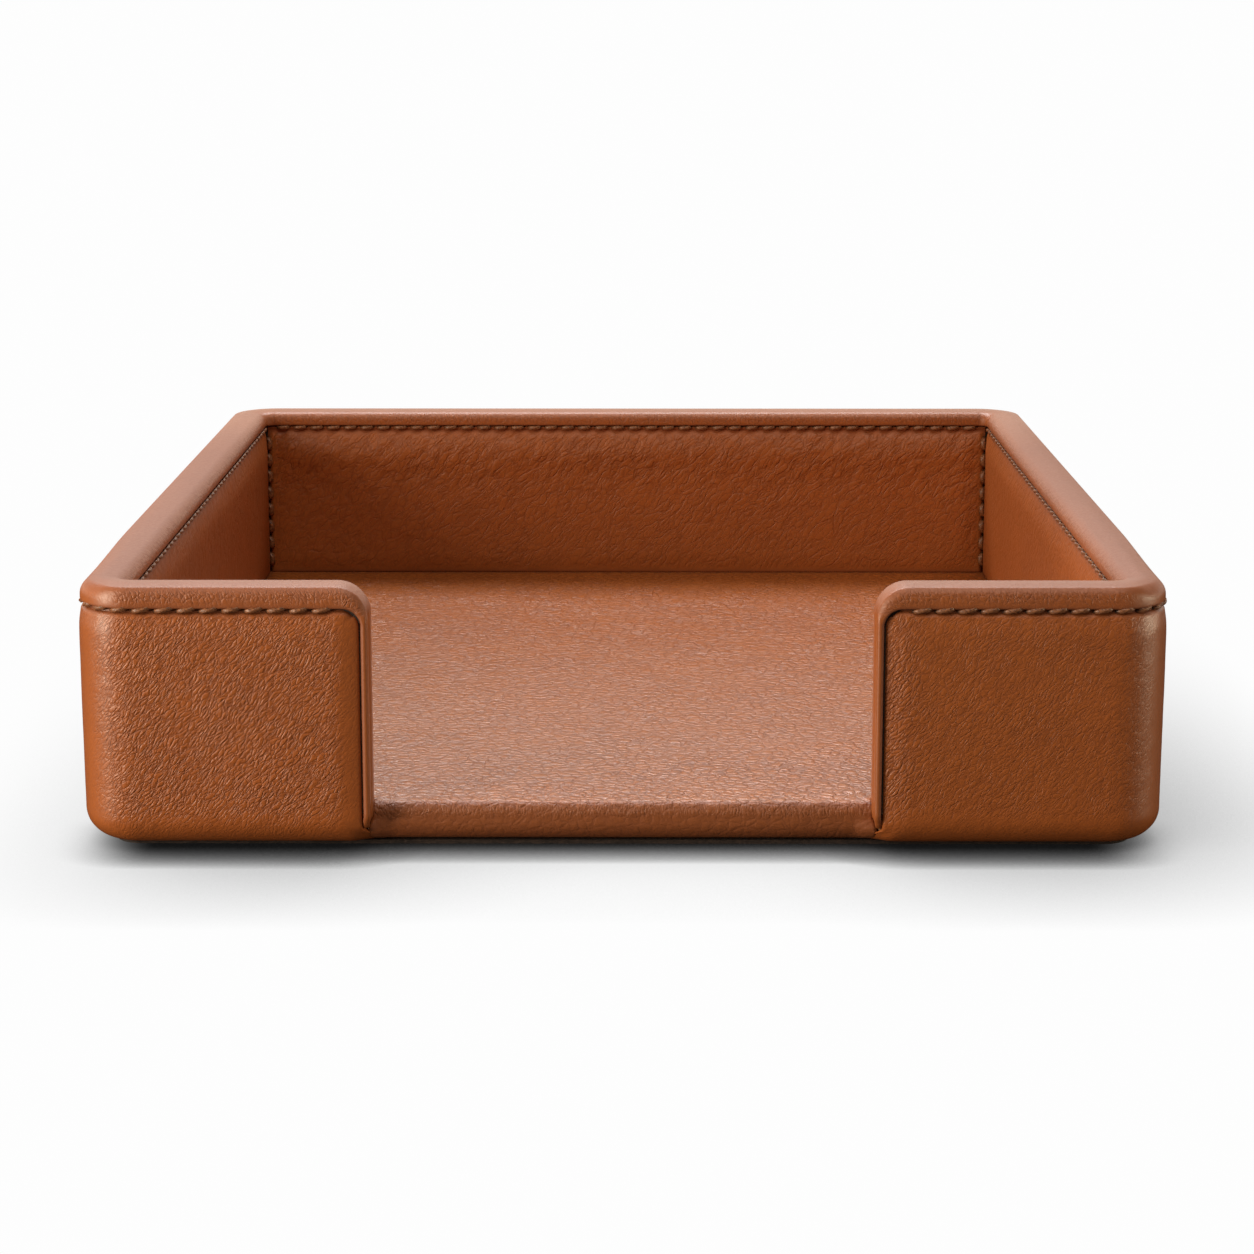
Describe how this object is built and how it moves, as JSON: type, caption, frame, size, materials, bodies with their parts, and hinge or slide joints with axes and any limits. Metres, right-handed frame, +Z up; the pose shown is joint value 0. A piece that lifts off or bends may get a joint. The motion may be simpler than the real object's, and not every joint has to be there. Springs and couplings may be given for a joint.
{
  "type": "valet tray",
  "caption": "Rectangular leather-covered valet tray with upright walls, stitched rim binding and a wide open front that gives onto a flat padded floor.",
  "frame": {"origin": "middle of the tray's outline, on the table under the bottom pad", "axes": "+Z up, the open front faces -Y, +X to the right when looking in through the open front"},
  "size_m": [0.22, 0.24, 0.0545],
  "materials": {
    "tan_leather": "pebbled semi-gloss",
    "rim_leather": "smooth semi-gloss",
    "fibreboard": "raw sanded",
    "padding_foam": "open cell matte",
    "filler_card": "matte",
    "underside_felt": "brushed felt",
    "brown_thread": "waxed twisted"
  },
  "bodies": {
    "root": {"outer_wrap": "tan_leather", "floor_lining": "tan_leather", "back_inner_panel": "tan_leather", "left_inner_panel": "tan_leather", "right_inner_panel": "tan_leather", "front_left_inner_panel": "tan_leather", "front_right_inner_panel": "tan_leather", "rim_binding": "rim_leather", "base_board": "fibreboard", "back_wall_board": "fibreboard", "left_wall_board": "fibreboard", "right_wall_board": "fibreboard", "front_left_wall_board": "fibreboard", "front_right_wall_board": "fibreboard", "outer_wall_foam": "padding_foam", "floor_foam": "padding_foam", "back_inner_foam": "padding_foam", "left_inner_foam": "padding_foam", "right_inner_foam": "padding_foam", "front_left_inner_foam": "padding_foam", "front_right_inner_foam": "padding_foam", "bottom_filler_card": "filler_card", "bottom_pad": "underside_felt", "outer_rim_stitches": "brown_thread", "back_inner_stitches": "brown_thread", "left_inner_stitches": "brown_thread", "right_inner_stitches": "brown_thread", "front_left_inner_stitches": "brown_thread", "front_right_inner_stitches": "brown_thread", "back_left_corner_stitches": "brown_thread", "back_right_corner_stitches": "brown_thread", "front_left_corner_stitches": "brown_thread", "front_right_corner_stitches": "brown_thread"}
  },
  "joints": []
}
